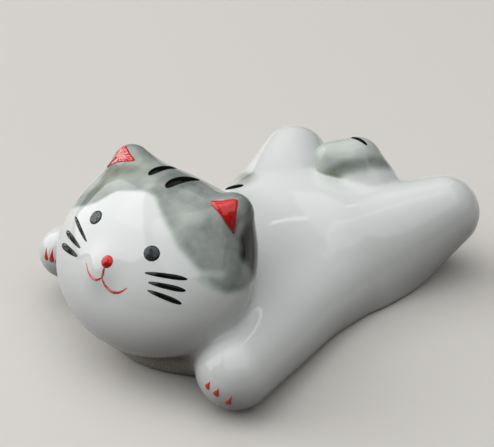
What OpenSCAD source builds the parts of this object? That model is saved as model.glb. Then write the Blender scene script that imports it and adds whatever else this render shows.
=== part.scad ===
// Porcelain chopstick rest: a cat that lies on its belly with its limbs spread.
// Millimetres. +Z is up, the cat looks towards -Y, and its own left side is +X.
// The origin is on the flat foot under the belly, on the centre line.
// The trunk, head, ears, limbs and tail are pressed one by one and luted together
// with slip. The eyes, nose, mouth, whiskers and stripes are enamel, fired on last.

/* [Trunk] */
// Half the width of the chest
chest_r = 13.1; // [12.2:0.1:14]
// Half the width of the rump
rump_r = 10; // [9.2:0.1:11]
// How far the middle of the chest lies ahead of the origin
chest_ahead = 10.4; // [9:0.1:12]
// How far the middle of the rump lies behind the origin
rump_behind = 11.6; // [10:0.1:13]
// Height of the middle of the chest above the foot
chest_up = 4.7; // [4:0.1:6]
// Height of the middle of the rump above the foot
rump_up = 3.1; // [2.5:0.1:4.5]
// Height of the trunk as a share of its width
trunk_height_share = 0.88; // [0.82:0.01:0.96]

/* [Head] */
// Width across the cheeks
head_w = 31; // [28:0.5:34]
// Height from crown to chin, along the face
head_h = 24.6; // [22.6:0.1:26.6]
// Depth of the face in front of the head's widest line
face_depth = 8.4; // [7.7:0.1:9.4]
// Depth of the back of the head behind its widest line
nape_bulge = 10.5; // [9.5:0.1:11.5]
// How far the face is lifted from looking level, in degrees
face_lift = 45.5; // [41:0.5:50]
// How far the middle of the head lies ahead of the middle of the chest
head_ahead = 7.3; // [6.4:0.1:8.2]
// How far the middle of the head lies above the middle of the chest
head_above = 9; // [8.2:0.1:10]
// How far the flat nape that is luted to the chest lies short of the full bulge
nape_flat = 2.5; // [2:0.1:3.5]
// Radius of the muzzle
muzzle_r = 3.6; // [3:0.1:4.2]
// How far the muzzle stands out of the face
muzzle_out = 0.4; // [0.2:0.1:0.8]

/* [Ears] */
// Distance from the middle of an ear's root to the middle of its rounded tip
ear_len = 5; // [4.5:0.1:6]
// Radius of an ear at its root
ear_root_r = 4.9; // [4.4:0.1:5.5]
// Radius of an ear's rounded tip
ear_tip_r = 2.5; // [1.9:0.1:2.9]
// Distance from an ear's luted face to the middle of its tip
ear_lute = 1.6; // [1.2:0.1:2]

/* [Forelegs] */
// Radius of a foreleg at the shoulder
shoulder_r = 5; // [4.5:0.1:5.8]
// Radius of the left paw
paw_r = 4.8; // [4.3:0.1:5.2]
// Radius of the right paw
right_paw_r = 3.8; // [3.4:0.1:4.3]
// Distance of a shoulder from the centre line
shoulder_out = 11.3; // [10.4:0.1:12.2]
// How far a shoulder lies behind the origin
shoulder_behind = 2.9; // [1:0.1:4.5]
// Height of a shoulder above the foot
shoulder_up = 3.3; // [2.8:0.1:4.4]
// Distance of the left paw from the centre line
paw_out = 16.6; // [15:0.1:18.5]
// How far a paw lies ahead of the origin
paw_ahead = 18.5; // [17:0.1:19.8]
// Height of the middle of the left paw above the foot
paw_up = 5; // [4.4:0.1:6]
// How much further out the right paw reaches
right_paw_spread = 1.8; // [0:0.1:3]
// How much higher the right paw is held
right_paw_lift = 2.2; // [0:0.1:3]

/* [Hind legs] */
// Radius of a hind leg at the hip
hip_r = 10.7; // [9.9:0.1:11.5]
// Radius of a hind foot
hind_foot_r = 5.6; // [5:0.1:6.2]
// Distance of a hip from the centre line
hip_out = 6.3; // [5.4:0.1:7.4]
// How far a hip lies behind the origin
hip_behind = 14.3; // [13.2:0.1:15.6]
// Height of a hip above the foot
hip_up = 2.4; // [1.8:0.1:3.4]
// Distance of a hind foot from the centre line
hind_foot_out = 14.4; // [13:0.1:16.5]
// How far the left hind foot lies behind the origin
hind_foot_behind = 26.6; // [25:0.1:28]
// How much further ahead the right hind foot lies
right_foot_ahead = 1.5; // [0:0.1:2.5]
// Height of the middle of the left hind foot above the foot
hind_foot_up = 9; // [8:0.1:10.5]
// How much lower the right hind foot is held
right_foot_drop = 0.6; // [0:0.1:1.5]

/* [Tail] */
// Radius of the tail at its root
tail_root_r = 4.6; // [4.2:0.1:5]
// Radius of the tail at its bend
tail_bend_r = 3.7; // [3.4:0.1:4]
// Radius of the tail's rounded tip
tail_tip_r = 2.8; // [2.5:0.1:3.2]
// Height of the flat on which the tail is bedded
tail_bed_z = 10.5; // [10:0.1:11]
// Distance along the trunk from the root of the tail to its tip
tail_run = 2.8; // [2.4:0.1:3.4]

/* [Enamel] */
// Height that the enamel stands above the glaze
enamel_t = 0.25; // [0.15:0.05:0.4]
// Depth to which the enamel has sunk into the glaze
enamel_bite = 0.2; // [0.15:0.05:0.3]
// Diameter of an eye
eye_d = 2.1; // [1.6:0.1:2.6]
// Diameter of the nose
nose_d = 1.7; // [1.4:0.1:2.2]
// Width of the mouth's line
mouth_line_w = 0.4; // [0.3:0.05:0.6]
// Width of a whisker
whisker_w = 0.65; // [0.4:0.05:0.9]
// Width of a stripe on the crown or the back
stripe_w = 1.6; // [1.2:0.1:2]
// Width of the stripe on the tail
tail_stripe_w = 0.9; // [0.7:0.1:1.3]
// Width of a toe mark
toe_mark_w = 0.7; // [0.5:0.05:0.9]
// Length of a toe mark
toe_mark_len = 1.8; // [1.4:0.1:2.4]

/* [Hidden] */

// Radii over which the clay is smoothed where two forms meet
limb_blend = 10;
ear_blend = 5;
muzzle_blend = 2;
tail_blend = 1;
// How far an uncut form runs past the plane that trims it
overrun = 6;
// Side of the blocks that trim the forms, past every piece
trim_block = 120;
// Distance from inside a form at which the search for its surface starts
search_in = 1;
// Distance from outside a form at which the search for its surface starts
search_out = 6;
// Steps of each search
search_steps = 24;
// Half the length of the straight core inside the head, from which its skin is drawn
core = 1.5;

// Middles of the main forms
chest = [0, -chest_ahead, chest_up];
rump = [0, rump_behind, rump_up];
head_mid = chest + [0, -head_ahead, head_above];
head_half = [head_w / 2, head_h / 2, face_depth];
shoulders = [for (s = [1, -1]) [s * shoulder_out, shoulder_behind, shoulder_up]];
paws = [
    [paw_out, -paw_ahead, paw_up],
    [-paw_out - right_paw_spread, -paw_ahead, paw_up + right_paw_lift]
];
paw_rs = [paw_r, right_paw_r];
hips = [for (s = [1, -1]) [s * hip_out, hip_behind, hip_up]];
hind_feet = [
    [hind_foot_out, hind_foot_behind, hind_foot_up],
    [-hind_foot_out, hind_foot_behind - right_foot_ahead, hind_foot_up - right_foot_drop]
];

// The tail's root, bend and tip, set from the rump and from its own radii
tail_root = [tail_root_r * 0.96, rump_behind + tail_root_r * 2.09, tail_bed_z + tail_root_r * 0.26];
tail_bend = tail_root + [-tail_root_r * 0.49, -tail_root_r * 0.06, tail_root_r * 0.74];
tail_tip = [tail_root.x - tail_run * 1.8, tail_root.y - tail_run, tail_bed_z + tail_tip_r * 1.75];

// The way in which a limb is luted on, outwards and backwards, and its place along the limb
foreleg_lute_way_share = [0.94, -0.34];
foreleg_lute_share = 0.31;
hind_lute_way_share = [0.64, 0.77];
hind_lute_share = 0.52;

// Root of an ear as shares of the head's halves, and the way it points on the head
ear_root_share = [0.455, 0.52, 0.02];
ear_way = [0.556, 0.711, 0.43];

// Middle of the muzzle and of each mark, as shares of the head's half width and height
muzzle_share = [0.03, -0.27];
eye_left_share = [0.415, 0.041];
eye_right_share = [-0.296, 0.076];
nose_share = [0.102, -0.25];
mouth_stem_share = [[0.104, -0.307], [0.114, -0.363], [0.115, -0.422]];
mouth_left_share = [[0.115, -0.418], [0.065, -0.462], [0.001, -0.465], [-0.061, -0.432], [-0.123, -0.371]];
mouth_right_share = [[0.114, -0.414], [0.159, -0.464], [0.226, -0.482], [0.297, -0.454], [0.357, -0.373]];
whiskers_left_share = [
    [[0.445, -0.156], [0.59, -0.084], [0.748, -0.001]],
    [[0.504, -0.219], [0.636, -0.167], [0.775, -0.105]],
    [[0.524, -0.29], [0.651, -0.263], [0.784, -0.233]]
];
whiskers_right_share = [
    [[-0.239, -0.186], [-0.404, -0.107], [-0.586, -0.022]],
    [[-0.285, -0.277], [-0.458, -0.234], [-0.615, -0.2]],
    [[-0.275, -0.365], [-0.439, -0.357], [-0.599, -0.346]]
];
inner_ear_left_share = [[0.533, 0.778], [0.703, 0.915], [0.797, 0.63]];
inner_ear_right_share = [[-0.454, 0.808], [-0.684, 0.915], [-0.694, 0.63]];
// Shares of the head's half width and half height along the crown, seen from above
crown_stripe_right_share = [[-0.174, 0.203], [-0.19, 0.321], [-0.192, 0.485], [-0.174, 0.602]];
crown_stripe_left_share = [[0.088, 0.154], [0.078, 0.287], [0.099, 0.444], [0.135, 0.569]];
back_stripe_share = [[-0.885, 0.92], [-0.779, 0.97], [-0.615, 1.026]];
tail_stripe_share = [[-0.163, 0.235], [0.163, 0.148], [0.435, -0.026]];
// Round ends of the toe marks, as shares of a paw's radius across and up from its middle,
// and how far each mark leans outwards in degrees
toes_share = [
    [[-0.015, 0], [0.263, -0.1], [0.531, -0.3]],
    [[0.62, 0.16], [0.374, 0.211], [0.124, 0.192]]
];
toe_lean = 18;

// A smooth union of two distances, blended over k
function blend(a, b, k) =
    let (h = max(k - abs(a - b), 0) / k)
    min(a, b) - h * h * h * k / 6;

// Distance to a round limb that tapers from radius ra at a to radius rb at b
function taper(p, a, b, ra, rb) =
    let (
        run = b - a, run2 = run * run, dr = ra - rb, slant2 = run2 - dr * dr,
        along = (p - a) * run, past = along - run2,
        off = (p - a) * run2 - along * run, off2 = off * off,
        along2 = along * along * run2, past2 = past * past * run2,
        k = sign(dr) * dr * dr * off2
    )
    sign(past) * slant2 * past2 > k ? sqrt(off2 + past2) / run2 - rb
    : sign(along) * slant2 * along2 < k ? sqrt(off2 + along2) / run2 - ra
    : (sqrt(off2 * slant2 / run2) + along * dr) / run2 - ra;

function unit(v) = v / norm(v);
function mix(a, b, s) = a + (b - a) * s;
function squashed(p) = [p.x, p.y, p.z / trunk_height_share];

// The trunk with its four limbs, as one soft form
function trunk_form(p) =
    taper(squashed(p), squashed(chest), squashed(rump), chest_r, rump_r);
function foreleg_form(p, i) = taper(p, shoulders[i], paws[i], shoulder_r, paw_rs[i]);
function hind_leg_form(p, i) = taper(p, hips[i], hind_feet[i], hip_r, hind_foot_r);
function side_form(p, d, i) =
    blend(blend(d, foreleg_form(p, i), limb_blend), hind_leg_form(p, i), limb_blend);
function body_form(p) = side_form(p, side_form(p, trunk_form(p), 0), 1);

// Places on the head: across, up the face and out of the face, from the head's middle
function to_head(p) =
    let (q = p - head_mid)
    [q.x, q.y * sin(face_lift) + q.z * cos(face_lift), q.z * sin(face_lift) - q.y * cos(face_lift)];
function head_turn(q) =
    [q.x, q.y * sin(face_lift) - q.z * cos(face_lift), q.y * cos(face_lift) + q.z * sin(face_lift)];
function from_head(q) = head_mid + head_turn(q);
function scaled(q, s) = [q.x * s.x, q.y * s.y, q.z * s.z];
function face_place(share) = scaled([share.x, share.y, 0], head_half);
face_way = head_turn([0, 0, 1]);

// The skull is two half ellipsoids, the back one deeper than the face.
// The muzzle and the ears rise out of it
function skull_form(p) =
    let (
        q = to_head(p), depth = q.z > 0 ? face_depth : nape_bulge,
        a = [q.x / head_half.x, q.y / head_half.y, q.z / depth],
        b = [a.x / head_half.x, a.y / head_half.y, a.z / depth], k = norm(a)
    )
    k * (k - 1) / norm(b);
ear_root = scaled(ear_root_share, head_half);
ear_tip = ear_root + ear_way * ear_len;
function ear_form(p) =
    let (q = to_head(p))
    taper([abs(q.x), q.y, q.z], ear_root, ear_tip, ear_root_r, ear_tip_r);
muzzle_rise = face_depth * sqrt(1 - muzzle_share * muzzle_share) + muzzle_out - muzzle_r;
muzzle_mid = from_head(face_place(muzzle_share) + [0, 0, muzzle_rise]);
function head_form(p) =
    blend(
        blend(skull_form(p), norm(p - muzzle_mid) - muzzle_r, muzzle_blend),
        ear_form(p), ear_blend
    );

function tail_form(p) =
    blend(
        taper(p, tail_root, tail_bend, tail_root_r, tail_bend_r),
        taper(p, tail_bend, tail_tip, tail_bend_r, tail_tip_r), tail_blend
    );

// The planes of the lutes: a point on each plane, and the way out of the trunk
function lute_way(i, share) = unit([(i == 0 ? 1 : -1) * share.x, share.y, 0]);
function foreleg_lute(i) = mix(shoulders[i], paws[i], foreleg_lute_share);
function foreleg_way(i) = lute_way(i, foreleg_lute_way_share);
function hind_lute(i) = mix(hips[i], hind_feet[i], hind_lute_share);
function hind_way(i) = lute_way(i, hind_lute_way_share);
function past_foreleg_lute(p, i) = (p - foreleg_lute(i)) * foreleg_way(i);
function past_hind_lute(p, i) = (p - hind_lute(i)) * hind_way(i);

// The forms that are skinned, each run past the planes that trim it
function torso_clay(p) =
    max(
        body_form(p), -p.z - overrun,
        past_foreleg_lute(p, 0) - overrun, past_foreleg_lute(p, 1) - overrun,
        past_hind_lute(p, 0) - overrun, past_hind_lute(p, 1) - overrun
    );
function foreleg_clay(p, i) =
    max(body_form(p), -past_foreleg_lute(p, i) - overrun, -p.z - overrun);
function hind_leg_clay(p, i) =
    max(body_form(p), -past_hind_lute(p, i) - overrun, -p.z - overrun);
function ear_clay(p) =
    max(head_form(p), (ear_tip - to_head(p)) * ear_way - ear_lute - overrun);

// Distance from a point inside a form to its surface, along a direction
function reach(form, from, way, t, steps) =
    steps == 0 ? t : reach(form, from, way, t - form(from + t * way), steps - 1);
function skin_point(form, from, way) =
    from + way * reach(form, from, way, search_in, search_steps);

// The place where a mark that is let down along a direction lands on a form
function fall(form, from, way, t, steps) =
    steps == 0 ? t : fall(form, from, way, t + form(from + t * way), steps - 1);
function landing(form, from, way) =
    from + way * fall(form, from, way, 0, search_steps);

// A skin over a form: rings of points round a straight spine, with a round cap at each
// end of it. caps and belts count the rings, and round counts the points of one ring
module skin(form, start, end, caps, belts, round) {
    axis = unit(end - start);
    across = unit(cross([0, 0, 1], axis));
    up = cross(axis, across);
    rings = [
        for (i = [1:caps]) [start, -90 + 90 * i / caps],
        for (i = [1:belts]) [mix(start, end, i / belts), 0],
        for (i = [1:caps - 1]) [end, 90 * i / caps]
    ];
    count = len(rings);
    points = [
        skin_point(form, start, -axis),
        for (ring = rings) for (j = [0:round - 1])
            let (turn = 360 * j / round, spoke = across * cos(turn) + up * sin(turn))
            skin_point(form, ring[0], spoke * cos(ring[1]) + axis * sin(ring[1])),
        skin_point(form, end, axis)
    ];
    function at(i, j) = 1 + i * round + j % round;
    faces = [
        for (j = [0:round - 1]) [0, at(0, j), at(0, j + 1)],
        for (i = [0:count - 2]) for (j = [0:round - 1]) each [
            [at(i, j), at(i + 1, j), at(i + 1, j + 1)],
            [at(i, j), at(i + 1, j + 1), at(i, j + 1)]
        ],
        for (j = [0:round - 1]) [at(count - 1, j), 1 + count * round, at(count - 1, j + 1)]
    ];
    polyhedron(points, faces);
}

// Everything that lies past a vertical plane, in the direction of way
module past(place, way) {
    translate(place) rotate([0, 0, atan2(way.y, way.x)])
        translate([0, -trim_block / 2, -trim_block / 2]) cube(trim_block);
}

// Everything above a level
module above(z) {
    translate([-trim_block / 2, -trim_block / 2, z]) cube(trim_block);
}

// The skull with its flat nape, which also cuts the seat that it is luted into
module nape_trim() {
    translate(head_mid) rotate([90 - face_lift, 0, 0])
        translate([-trim_block / 2, -trim_block / 2, nape_flat - nape_bulge]) cube(trim_block);
}
module skull() {
    intersection() {
        skin(function(p) skull_form(p), head_mid - [core, 0, 0], head_mid + [core, 0, 0], 9, 2, 32);
        nape_trim();
    }
}

// Everything on an ear's side of its lute
module ear_trim(side) {
    mirror([side > 0 ? 0 : 1, 0, 0])
        translate(from_head(ear_tip - ear_way * ear_lute))
        rotate([90 - face_lift, 0, 0]) rotate([0, acos(ear_way.z), atan2(ear_way.y, ear_way.x)])
        translate([-trim_block / 2, -trim_block / 2, 0]) cube(trim_block);
}

module tail_clay() {
    intersection() {
        skin(function(p) tail_form(p), mix(tail_root, tail_bend, 0.5), tail_tip, 7, 5, 20);
        above(tail_bed_z);
    }
}

module torso() {
    color("white") difference() {
        intersection() {
            skin(function(p) torso_clay(p), mix(chest, rump, 0.1) + [0, 0, chest_r * 0.2],
                rump + [0, 0, rump_r * 0.3], 9, 15, 44);
            above(0);
        }
        for (i = [0, 1]) {
            past(foreleg_lute(i), foreleg_way(i));
            past(hind_lute(i), hind_way(i));
        }
        skull();
        tail_clay();
    }
}

module head() {
    color("white") difference() {
        intersection() {
            skin(function(p) head_form(p), head_mid - [core, 0, 0], head_mid + [core, 0, 0], 12, 2, 44);
            nape_trim();
        }
        for (side = [1, -1]) ear_trim(side);
    }
}

module ear(side) {
    color("white") mirror([side > 0 ? 0 : 1, 0, 0]) intersection() {
        skin(function(p) ear_clay(p), from_head(ear_tip - ear_way * ear_lute), from_head(ear_tip), 6, 2, 20);
        ear_trim(1);
    }
}

module foreleg(i) {
    color("white") difference() {
        intersection() {
            skin(function(p) foreleg_clay(p, i),
                foreleg_lute(i) + [0, -paw_rs[i], paw_rs[i] / 3], paws[i], 8, 8, 28);
            past(foreleg_lute(i), foreleg_way(i));
            above(0);
        }
        skull();
    }
}

module hind_leg(i) {
    color("white") intersection() {
        skin(function(p) hind_leg_clay(p, i), hind_lute(i), hind_feet[i], 7, 5, 24);
        past(hind_lute(i), hind_way(i));
        above(0);
    }
}

module tail() {
    color("lightgray") tail_clay();
}

// A curve through a list of places, by Catmull and Rom's rule
function curve_at(line, s) =
    let (
        n = len(line) - 1, i = min(floor(s * n), n - 1), t = s * n - i,
        b = line[i], c = line[i + 1],
        a = i > 0 ? line[i - 1] : 2 * b - c, d = i + 2 > n ? 2 * c - b : line[i + 2]
    )
    (2 * b + (c - a) * t + (2 * a - 5 * b + 4 * c - d) * t * t + (3 * b - a - 3 * c + d) * t * t * t) / 2;

// Width of a brush stroke along its length: 1 at its peak and nearly nothing at its ends
function swell(s, peak) =
    let (d = s < peak ? (peak - s) / peak : (s - peak) / (1 - peak))
    sqrt(1 - 0.96 * d * d);

// A brush stroke of enamel that follows a curve over a form. Each ring has its two edges
// just in the glaze, its crown above them, and its root below
module stroke(form, line, width, way, peak = 0.5, steps = 8) {
    stops = [for (i = [0:steps]) curve_at(line, i / steps)];
    points = [
        for (i = [0:steps])
            let (
                ahead = stops[min(i + 1, steps)] - stops[max(i - 1, 0)],
                side = unit(cross(way, ahead)) * swell(i / steps, peak) * width / 2
            )
            each [
                landing(form, stops[i] - side, way) + way * enamel_bite / 4,
                landing(form, stops[i], way) - way * enamel_t,
                landing(form, stops[i] + side, way) + way * enamel_bite / 4,
                landing(form, stops[i], way) + way * enamel_bite
            ]
    ];
    faces = [
        [0, 1, 2, 3],
        for (i = [0:steps - 1]) for (j = [0:3]) each [
            [4 * i + j, 4 * i + 4 + (j + 1) % 4, 4 * i + (j + 1) % 4],
            [4 * i + j, 4 * i + 4 + j, 4 * i + 4 + (j + 1) % 4]
        ],
        [4 * steps + 3, 4 * steps + 2, 4 * steps + 1, 4 * steps]
    ];
    polyhedron(points, faces);
}

// A crowned drop of enamel inside an outline that is let down onto a form
module drop(form, outline, way) {
    n = len(outline);
    middle = [for (k = [0:2]) [for (p = outline) p[k]] * [for (p = outline) 1] / n];
    points = [
        for (p = outline) landing(form, p, way) + way * enamel_bite / 4,
        for (p = outline) landing(form, mix(middle, p, 0.7), way) - way * enamel_t * 0.8,
        landing(form, middle, way) - way * enamel_t,
        landing(form, middle, way) + way * enamel_bite
    ];
    faces = [
        for (j = [0:n - 1]) let (k = (j + 1) % n) each [
            [j, n + j, n + k], [j, n + k, k], [n + j, 2 * n, n + k], [j, k, 2 * n + 1]
        ]
    ];
    polyhedron(points, faces);
}

// Places in front of the face, from which its marks are let down
function before_face(share) = from_head(face_place(share) + [0, 0, head_half.z + search_out]);
function disc(share, d) =
    [for (a = [0:22.5:337.5]) before_face(share) + head_turn([cos(a) * d / 2, sin(a) * d / 2, 0])];

module face_dot(tint, share, d) {
    color(tint) drop(function(p) head_form(p), disc(share, d), -face_way);
}
module face_stroke(tint, shares, width, peak) {
    color(tint)
        stroke(function(p) head_form(p), [for (s = shares) before_face(s)], width, -face_way, peak);
}

module mouth() {
    face_stroke("red", mouth_stem_share, mouth_line_w, 0.5);
    face_stroke("red", mouth_left_share, mouth_line_w, 0.4);
    face_stroke("red", mouth_right_share, mouth_line_w, 0.4);
}

module whiskers(shares) {
    for (s = shares) face_stroke("black", s, whisker_w, 0.72);
}

// The enamelled triangle inside an ear, with soft corners
module inner_ear(shares) {
    corners = [for (s = shares) before_face(s)];
    middle = (corners[0] + corners[1] + corners[2]) / 3;
    outline = [
        for (i = [0:2]) let (a = corners[i], b = corners[(i + 1) % 3]) each [
            mix(a, middle, 0.06), mix(mix(a, b, 0.12), middle, 0.02), mix(a, b, 0.31), mix(a, b, 0.5),
            mix(a, b, 0.69), mix(mix(a, b, 0.88), middle, 0.02)
        ]
    ];
    turned = shares[0].x < 0 ? outline : [for (i = [len(outline) - 1:-1:0]) outline[i]];
    color("red") drop(function(p) head_form(p), turned, -face_way);
}

// Toe marks: drops that are round below and drawn out to a point above, on the front of a paw
module toe_marks(i) {
    lean = i == 0 ? toe_lean : -toe_lean;
    up = [sin(lean), 0, cos(lean)];
    across = [cos(lean), 0, -sin(lean)];
    for (foot = toes_share[i]) {
        start = paws[i] + [foot.x * paw_rs[i], -paw_rs[i] - search_out, foot.y * paw_rs[i]];
        point_up = toe_mark_len - toe_mark_w * 0.6;
        outline = [
            for (a = [0:30:330])
                start + across * cos(a) * toe_mark_w / 2 * (a < 180 ? 1 - 0.62 * sin(a) : 1)
                + up * sin(a) * (a < 180 ? point_up : toe_mark_w * 0.6)
        ];
        color("red") drop(function(p) body_form(p), outline, [0, 1, 0]);
    }
}

function over_crown(share) =
    [share.x * head_half.x, head_mid.y + share.y * head_h / 2, head_mid.z + head_h / 2 + search_out];

module crown_stripes() {
    for (shares = [crown_stripe_right_share, crown_stripe_left_share])
        color("black") stroke(function(p) head_form(p),
            [for (s = shares) over_crown(s)], stripe_w, [0, 0, -1], 0.45);
}

module back_stripe() {
    line = [for (s = back_stripe_share) [s.x * chest_r, s.y * rump_r - rump_up, chest_r + search_out]];
    color("black") stroke(function(p) body_form(p), line, stripe_w, [0, 0, -1]);
}

module tail_stripe() {
    line = [for (s = tail_stripe_share)
        tail_bend + [s.x * tail_root_r, s.y * tail_root_r, tail_bend_r + search_out]];
    color("black") stroke(function(p) tail_form(p), line, tail_stripe_w, [0, 0, -1]);
}

torso();
head();
ear(1);  // ear_left
ear(-1);  // ear_right
foreleg(0);  // foreleg_left
foreleg(1);  // foreleg_right
hind_leg(0);  // hind_leg_left
hind_leg(1);  // hind_leg_right
tail();
face_dot("dimgray", eye_left_share, eye_d);  // eye_left
face_dot("dimgray", eye_right_share, eye_d);  // eye_right
face_dot("red", nose_share, nose_d);  // nose
mouth();
whiskers(whiskers_left_share);  // whiskers_left
whiskers(whiskers_right_share);  // whiskers_right
inner_ear(inner_ear_left_share);  // inner_ear_left
inner_ear(inner_ear_right_share);  // inner_ear_right
toe_marks(0);  // toe_marks_left
toe_marks(1);  // toe_marks_right
crown_stripes();
back_stripe();
tail_stripe();
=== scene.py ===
"""A glazed porcelain chopstick rest: a cat that lies on its belly.

One skin of clay is drawn over the luted pieces, grey-green washes are laid under its glaze,
and the face, the ears, the toes and the stripes are enamel, fired on in thin raised layers.
The washes hold a painted highlight on the cheeks and painted shade under the tail as well.
"""

import math

import bmesh
import bpy
import numpy as np
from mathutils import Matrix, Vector


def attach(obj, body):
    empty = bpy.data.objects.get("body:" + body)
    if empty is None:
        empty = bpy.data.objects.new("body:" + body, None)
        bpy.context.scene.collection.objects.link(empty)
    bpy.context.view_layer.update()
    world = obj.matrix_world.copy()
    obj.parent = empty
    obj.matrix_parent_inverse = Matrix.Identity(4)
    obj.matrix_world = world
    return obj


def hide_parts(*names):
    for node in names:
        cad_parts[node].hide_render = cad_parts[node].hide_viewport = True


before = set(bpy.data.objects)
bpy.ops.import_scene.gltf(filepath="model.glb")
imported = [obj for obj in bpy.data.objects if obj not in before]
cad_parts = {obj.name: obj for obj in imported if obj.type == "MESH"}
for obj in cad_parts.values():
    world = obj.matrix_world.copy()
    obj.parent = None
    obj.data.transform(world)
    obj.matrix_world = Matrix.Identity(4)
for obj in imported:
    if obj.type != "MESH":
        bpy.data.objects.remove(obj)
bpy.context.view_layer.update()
MM = 0.001


def mm(*values):
    """A place or a size given in millimetres, as an array in metres."""
    return np.array(values, float) * MM


def unit(v):
    return v / np.linalg.norm(v)


def outwards(turn, rise):
    """The way out from the object, so many degrees round to the cat's left and up."""
    turn, rise = math.radians(turn), math.radians(rise)
    flat = math.cos(rise)
    return np.array([math.sin(turn) * flat, -math.cos(turn) * flat, math.sin(rise)])


# The camera: as far round to the cat's left, as high and as near as in the photograph
CAMERA_TURN = 45.33
CAMERA_RISE = 29.73
CAMERA_DISTANCE = 149.82 * MM
CAMERA_AIM = mm(-2.26, 2.07, 10.16)
CAMERA_LENS = 75.46
CAMERA_SENSOR = 36
CAMERA_CLIP = 10 * MM


def add_camera():
    bpy.ops.object.camera_add(
        location=CAMERA_AIM + outwards(CAMERA_TURN, CAMERA_RISE) * CAMERA_DISTANCE,
        rotation=(math.pi / 2 - math.radians(CAMERA_RISE), 0, math.radians(CAMERA_TURN)),
    )
    camera = bpy.context.object
    camera.data.lens = CAMERA_LENS
    camera.data.sensor_width = CAMERA_SENSOR
    camera.data.clip_start = CAMERA_CLIP
    bpy.context.scene.camera = camera


# The clay, in the sizes that the luted pieces have
CHEST, CHEST_R = mm(0, -10.4, 4.7), 13.1 * MM
RUMP, RUMP_R = mm(0, 11.6, 3.1), 10 * MM
TRUNK_HEIGHT = 0.88
SHOULDERS, SHOULDER_R = (mm(11.3, 2.9, 3.3), mm(-11.3, 2.9, 3.3)), 5 * MM
PAWS, PAW_R = (mm(16.6, -18.5, 5), mm(-18.4, -18.5, 7.2)), mm(4.8, 3.8)
HIPS, HIP_R = (mm(6.3, 14.3, 2.4), mm(-6.3, 14.3, 2.4)), 10.7 * MM
HIND_FEET, HIND_FOOT_R = (mm(14.4, 26.6, 9), mm(-14.4, 25.1, 8.4)), 5.6 * MM
HEAD_MID = mm(0, -17.7, 13.7)
HEAD_HALF = mm(15.5, 12.3, 8.4)
NAPE_BULGE = 10.5 * MM
FACE_LIFT = math.radians(45.5)
MUZZLE, MUZZLE_R, MUZZLE_OUT = np.array([0.03, -0.27]), 3.6 * MM, 0.4 * MM
EAR_ROOT, EAR_ROOT_R, EAR_TIP_R = np.array([0.455, 0.52, 0.02]) * HEAD_HALF, 4.9 * MM, 2.5 * MM
EAR_WAY, EAR_LEN = np.array([0.556, 0.711, 0.43]), 5 * MM
TAIL_ROOT, TAIL_ROOT_R = mm(4.42, 21.21, 11.7), 4.6 * MM
TAIL_BEND, TAIL_BEND_R = mm(2.16, 20.94, 15.1), 3.7 * MM
TAIL_TIP, TAIL_TIP_R = mm(-0.62, 18.41, 15.4), 2.8 * MM

# How softly one form runs into the next, and how round the foot's edge is
LIMB_BLEND, EAR_BLEND, MUZZLE_BLEND, TAIL_BEND_BLEND = 10 * MM, 5 * MM, 2 * MM, 1 * MM
NECK_GLAZE, TAIL_GLAZE, FOOT_EDGE = 1.3 * MM, 1.6 * MM, 1 * MM
# The skin lies this far inside the forms, so that no part of it stands out of the CAD
SETBACK = 0.04 * MM

PORCELAIN = (
    "torso", "head", "ear_left", "ear_right", "foreleg_left", "foreleg_right",
    "hind_leg_left", "hind_leg_right", "tail",
)
# The skin's first mesh: what it welds, how fine it is and how often it is smoothed and redrawn
WELD = 0.001 * MM
VOXEL = 0.32 * MM
SMOOTH_PASSES, SMOOTH_STEPS, SMOOTH_SHARE = 3, 4, 0.5
SLOPE_STEP = 0.01 * MM
# A slope's square counts as at least this, so that a flat spot throws no point away
SLOPE_FLOOR = 0.05


def blend(a, b, radius):
    """Two distances as one, with a fillet where they meet."""
    near = np.maximum(radius - np.abs(a - b), 0) / radius
    return np.minimum(a, b) - near ** 3 * radius / 6


def limb(p, start, end, start_r, end_r):
    """Distance to a round limb that tapers from one radius to the other."""
    run = end - start
    run2, fall = run @ run, start_r - end_r
    slant2 = run2 - fall * fall
    along = (p - start) @ run
    past = along - run2
    off2 = (((p - start) * run2 - along[:, None] * run) ** 2).sum(1)
    along2, past2 = along * along * run2, past * past * run2
    turn = np.sign(fall) * fall * fall * off2
    side = (np.sqrt(off2 * slant2 / run2) + along * fall) / run2 - start_r
    start_cap = np.sqrt(off2 + along2) / run2 - start_r
    end_cap = np.sqrt(off2 + past2) / run2 - end_r
    side = np.where(np.sign(along) * slant2 * along2 < turn, start_cap, side)
    return np.where(np.sign(past) * slant2 * past2 > turn, end_cap, side)


def mirrored(p):
    """Points of the right side carried over to the left, so that both sides are made alike."""
    return np.abs(p) * [1, 0, 0] + p * [0, 1, 1]


def body_form(p):
    squash = np.array([1, 1, 1 / TRUNK_HEIGHT])
    form = limb(p * squash, CHEST * squash, RUMP * squash, CHEST_R, RUMP_R)
    for side in (0, 1):
        foreleg = limb(p, SHOULDERS[side], PAWS[side], SHOULDER_R, PAW_R[side])
        hind_leg = limb(p, HIPS[side], HIND_FEET[side], HIP_R, HIND_FOOT_R)
        form = blend(blend(form, foreleg, LIMB_BLEND), hind_leg, LIMB_BLEND)
    return form


def to_head(p):
    """Across the head, up the face and out of the face, from the head's middle."""
    q = p - HEAD_MID
    s, c = math.sin(FACE_LIFT), math.cos(FACE_LIFT)
    return np.stack([q[:, 0], q[:, 1] * s + q[:, 2] * c, q[:, 2] * s - q[:, 1] * c], 1)


def from_head(q):
    q = np.atleast_2d(q)
    s, c = math.sin(FACE_LIFT), math.cos(FACE_LIFT)
    return HEAD_MID + np.stack([q[:, 0], q[:, 1] * s - q[:, 2] * c, q[:, 1] * c + q[:, 2] * s], 1)


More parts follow.
